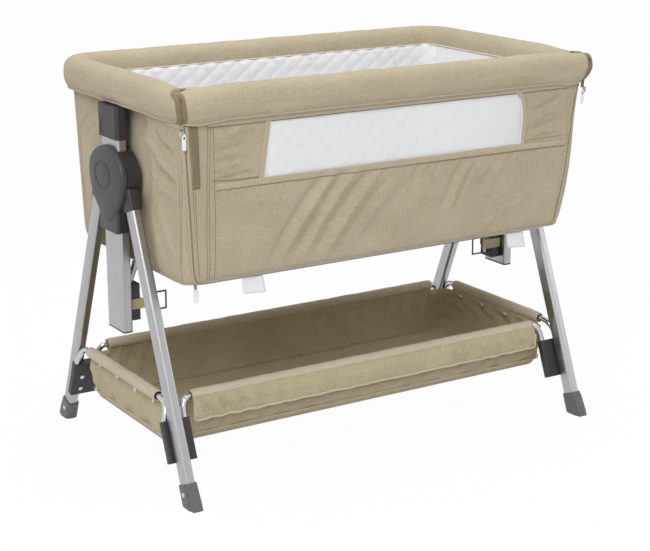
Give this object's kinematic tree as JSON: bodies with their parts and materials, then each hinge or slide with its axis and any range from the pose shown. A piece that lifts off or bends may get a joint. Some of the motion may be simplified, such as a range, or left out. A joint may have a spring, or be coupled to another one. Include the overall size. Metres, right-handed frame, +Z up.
{
  "type": "bedside crib",
  "caption": "Bedside crib: a fabric bed with a net window and a zip-down front side on two posts that slide in an A-shaped stand with a basket.",
  "frame": {"origin": "middle of the stand's footprint, on the floor", "axes": "+X along the bed to the right-hand end, -Y towards the drop side, +Z up"},
  "size_m": [0.954, 0.6006, 0.757],
  "materials": {
    "linen": "woven melange linen cloth",
    "net": "fine white polyester net",
    "floor_cloth": "plain woven",
    "lining": "quilted white jersey",
    "mattress": "foam in a white cover",
    "webbing": "woven tape",
    "aluminium": "satin anodised",
    "steel_tube": "zinc plated",
    "chromed_rod": "bright plated",
    "bolts": "zinc plated",
    "hub_plastic": "fine moulded grain",
    "dark_plastic": "fine moulded grain",
    "foot_plastic": "moulded",
    "black_plastic": "moulded",
    "black_wire": "black lacquer",
    "white_plastic": "glossy",
    "board": "plain hardboard"
  },
  "bodies": {
    "stand": {"leg_front_left": "aluminium", "leg_front_right": "aluminium", "leg_rear_left": "aluminium", "leg_rear_right": "aluminium", "foot_front_left": "foot_plastic", "foot_front_right": "foot_plastic", "foot_rear_left": "foot_plastic", "foot_rear_right": "foot_plastic", "hub_cover_left": "hub_plastic", "hub_cover_right": "hub_plastic", "hub_inner_left": "dark_plastic", "hub_inner_right": "dark_plastic", "hub_screws": "bolts", "basket_holder_front_left": "dark_plastic", "basket_holder_front_right": "dark_plastic", "basket_holder_rear_left": "dark_plastic", "basket_holder_rear_right": "dark_plastic", "basket_bolts": "bolts", "basket_rod_front": "chromed_rod", "basket_rod_rear": "chromed_rod", "basket_rod_left": "chromed_rod", "basket_rod_right": "chromed_rod", "basket_cloth": "linen", "basket_snaps": "chromed_rod"},
    "bed": {"post_left": "aluminium", "post_right": "aluminium", "post_caps": "foot_plastic", "sleeve_left": "dark_plastic", "sleeve_right": "dark_plastic", "rail_tube": "steel_tube", "rail_plugs": "foot_plastic", "pad_left": "linen", "pad_right": "linen", "pad_rear": "linen", "end_wall_left": "linen", "end_wall_right": "linen", "rear_wall": "linen", "bed_floor": "floor_cloth", "base_frame": "steel_tube", "base_board": "board", "mattress": "mattress", "lining_rear": "lining", "lining_left": "lining", "lining_right": "lining", "bed_bracket_left": "black_plastic", "bed_bracket_right": "black_plastic", "bed_supports": "steel_tube", "tether_straps": "webbing"},
    "front_side": {"front_wall": "linen", "net_window": "net", "pad_front": "linen", "front_rail_tube": "steel_tube"},
    "lock_left": {"lock_button_left": "black_plastic"},
    "lock_right": {"lock_button_right": "black_plastic"},
    "zip_left": {"zip_slider_left": "white_plastic"},
    "zip_right": {"zip_slider_right": "white_plastic"},
    "pull_left": {"zip_pull_left": "white_plastic"},
    "pull_right": {"zip_pull_right": "white_plastic"},
    "ring_left": {"tether_ring_left": "black_wire"},
    "ring_right": {"tether_ring_right": "black_wire"}
  },
  "joints": [
    {"name": "bed_height", "type": "slide", "parent": "stand", "child": "bed", "axis": [0, 0, 1], "range_m": [-0.008, 0.09]},
    {"name": "front_side_hinge", "type": "hinge", "parent": "bed", "child": "front_side", "pos_m": [0, -0.222, 0.398], "axis": [1, 0, 0], "range_deg": [0, 150]},
    {"name": "lock_left_press", "type": "slide", "parent": "bed", "child": "lock_left", "axis": [1, 0, 0], "range_m": [0, 0.003], "stiffness_N_per_m": 300},
    {"name": "lock_right_press", "type": "slide", "parent": "bed", "child": "lock_right", "axis": [-1, 0, 0], "range_m": [0, 0.003], "stiffness_N_per_m": 300},
    {"name": "zip_left_slide", "type": "slide", "parent": "bed", "child": "zip_left", "axis": [0.1259, 0.1325, -0.9831], "range_m": [0, 0.27]},
    {"name": "zip_right_slide", "type": "slide", "parent": "bed", "child": "zip_right", "axis": [-0.1259, 0.1325, -0.9831], "range_m": [0, 0.27]},
    {"name": "pull_left_swing", "type": "hinge", "parent": "zip_left", "child": "pull_left", "pos_m": [-0.44817, -0.26249, 0.68038], "axis": [-0.9919, 0, -0.127], "range_deg": [-5, 120]},
    {"name": "pull_right_swing", "type": "hinge", "parent": "zip_right", "child": "pull_right", "pos_m": [0.44817, -0.26249, 0.68038], "axis": [-0.9919, 0, 0.127], "range_deg": [-5, 120]},
    {"name": "ring_left_swing", "type": "hinge", "parent": "bed", "child": "ring_left", "pos_m": [-0.3907, -0.0211, 0.315], "axis": [0, 0, 1], "range_deg": [-60, 60]},
    {"name": "ring_right_swing", "type": "hinge", "parent": "bed", "child": "ring_right", "pos_m": [0.3907, -0.0211, 0.315], "axis": [0, 0, 1], "range_deg": [-60, 60]}
  ]
}
